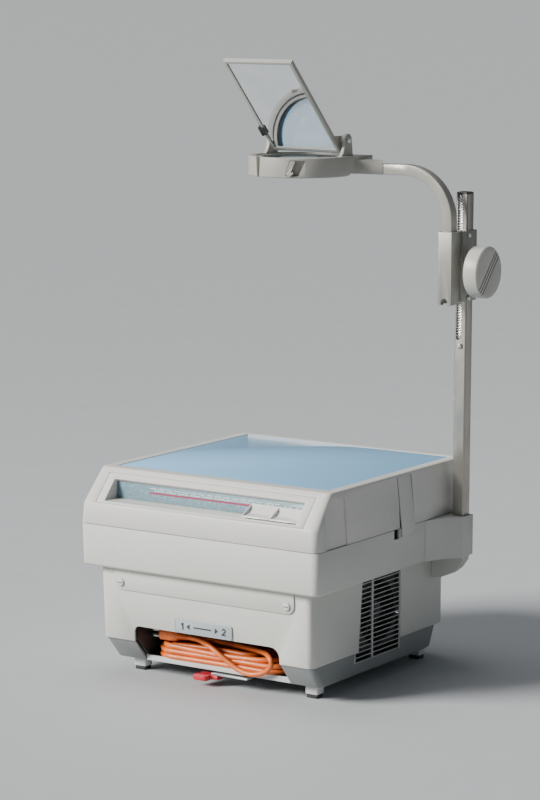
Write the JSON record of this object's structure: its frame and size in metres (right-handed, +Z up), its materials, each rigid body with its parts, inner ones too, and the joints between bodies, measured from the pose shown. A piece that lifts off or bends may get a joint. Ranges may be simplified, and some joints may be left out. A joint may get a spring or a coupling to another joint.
{
  "type": "overhead projector",
  "caption": "Overhead transparency projector with a hinged glass stage, rocker switches, a cord bay with its mains lead, a louvred side vent, and a rack-focused arm with lens head and mirror.",
  "frame": {"origin": "on the floor plane, under the middle of the whole object's box", "axes": "+X towards the column and knob side, +Y towards the back, +Z up; the control panel faces -Y"},
  "size_m": [0.4014, 0.3426, 0.7348],
  "materials": {
    "pan_plastic": "fine satin grain",
    "body_plastic": "fine satin grain",
    "grille_plastic": "satin",
    "column_metal": "satin anodised",
    "bright_steel": "bright",
    "black_plastic": "satin",
    "tray_plastic": "satin",
    "orange_cord": "satin",
    "foot_plastic": "satin",
    "foot_rubber": "matt",
    "transformer_core": "varnished",
    "zinc_plate": "zinc plated",
    "heat_glass": "clear",
    "clear_glass": "clear",
    "position_sign": "raised marks",
    "lid_plastic": "fine satin grain",
    "fresnel_acrylic": "fine grooves",
    "panel_plastic": "fine satin grain",
    "label_film": "satin printed film",
    "key_plastic": "satin",
    "carriage_metal": "satin paint",
    "arm_metal": "satin paint",
    "head_plastic": "satin",
    "mirror_face": "polished",
    "knob_plastic": "satin",
    "red_lever": "glossy",
    "lamp_quartz": "clear"
  },
  "bodies": {
    "base": {"base_pan": "pan_plastic", "lower_housing": "body_plastic", "rim_frame": "body_plastic", "front_plate": "body_plastic", "front_plate_screw_left": "body_plastic", "front_plate_screw_right": "body_plastic", "vent_grille": "grille_plastic", "column_bracket": "body_plastic", "column": "column_metal", "rack_strip": "bright_steel", "column_cap": "black_plastic", "rack_stop_screw": "bright_steel", "cord_bay_tray": "tray_plastic", "cord_gland": "black_plastic", "mains_cord_hank": "orange_cord", "mains_cord_lead": "orange_cord", "mains_plug": "orange_cord", "foot_front_left": "foot_plastic", "foot_front_right": "foot_plastic", "foot_rear_left": "foot_plastic", "foot_rear_right": "foot_plastic", "foot_pad_front_left": "foot_rubber", "foot_pad_front_right": "foot_rubber", "foot_pad_rear_left": "foot_rubber", "foot_pad_rear_right": "foot_rubber", "fan_frame": "black_plastic", "transformer": "transformer_core", "lamp_rail": "zinc_plate", "heat_glass": "heat_glass", "condenser_lens": "clear_glass", "lid_hinge_rod": "bright_steel", "position_sign": "position_sign"},
    "fan": {"fan_rotor": "black_plastic"},
    "lid": {"lid_cover": "lid_plastic", "stage_glass": "clear_glass", "fresnel_lens": "fresnel_acrylic", "control_panel": "panel_plastic", "label_panel": "label_film"},
    "key_left": {"rocker_key_left": "key_plastic"},
    "key_right": {"rocker_key_right": "key_plastic"},
    "latch": {"latch_tongue": "lid_plastic"},
    "carriage": {"arm_socket": "carriage_metal", "collar": "carriage_metal", "collar_screw_top": "bright_steel", "collar_screw_bottom": "bright_steel", "arm": "arm_metal", "lens_head": "head_plastic", "objective_lens": "clear_glass", "lens_ring": "head_plastic", "lens_lock": "head_plastic", "mirror_hinge_pin": "bright_steel"},
    "mirror": {"mirror_frame": "head_plastic", "mirror_glass": "mirror_face", "mirror_clip": "black_plastic"},
    "knob": {"focus_knob": "knob_plastic", "pinion_shaft": "bright_steel"},
    "lamps": {"lamp_slide": "zinc_plate", "lamp_lever": "red_lever", "lamp_1": "lamp_quartz", "lamp_2": "lamp_quartz"}
  },
  "joints": [
    {"name": "focus_slide", "type": "slide", "parent": "base", "child": "carriage", "axis": [0, 0, 1], "range_m": [-0.045, 0.04]},
    {"name": "knob_turn", "type": "hinge", "parent": "carriage", "child": "knob", "pos_m": [0.18175, 0.1163, 0.4841], "axis": [1, 0, 0], "range_deg": [-330, 370]},
    {"name": "mirror_tilt", "type": "hinge", "parent": "carriage", "child": "mirror", "pos_m": [-0.02375, 0.0693, 0.6366], "axis": [1, 0, 0], "range_deg": [-45, 43]},
    {"name": "lid_hinge", "type": "hinge", "parent": "base", "child": "lid", "pos_m": [-0.19675, 0.0213, 0.186], "axis": [0, -1, 0], "range_deg": [0, 50]},
    {"name": "latch_flex", "type": "hinge", "parent": "lid", "child": "latch", "pos_m": [0.13785, 0.0285, 0.2436], "axis": [0, -1, 0], "range_deg": [0, 4], "stiffness_Nm_per_rad": 1.5},
    {"name": "key_left_rock", "type": "hinge", "parent": "lid", "child": "key_left", "pos_m": [0.05505, -0.1532, 0.2164], "axis": [1, 0, 0], "range_deg": [0, 4], "stiffness_Nm_per_rad": 0.05},
    {"name": "key_right_rock", "type": "hinge", "parent": "lid", "child": "key_right", "pos_m": [0.09225, -0.1532, 0.2164], "axis": [1, 0, 0], "range_deg": [0, 4], "stiffness_Nm_per_rad": 0.05},
    {"name": "lamp_change", "type": "slide", "parent": "base", "child": "lamps", "axis": [1, 0, 0], "range_m": [0, 0.045]},
    {"name": "fan_spin", "type": "hinge", "parent": "base", "child": "fan", "pos_m": [0.11025, 0.0013, 0.0846], "axis": [1, 0, 0], "continuous": true}
  ],
  "couplings": [
    {"joint": "knob_turn", "follows": "focus_slide", "rad_per_m": -142.86}
  ]
}
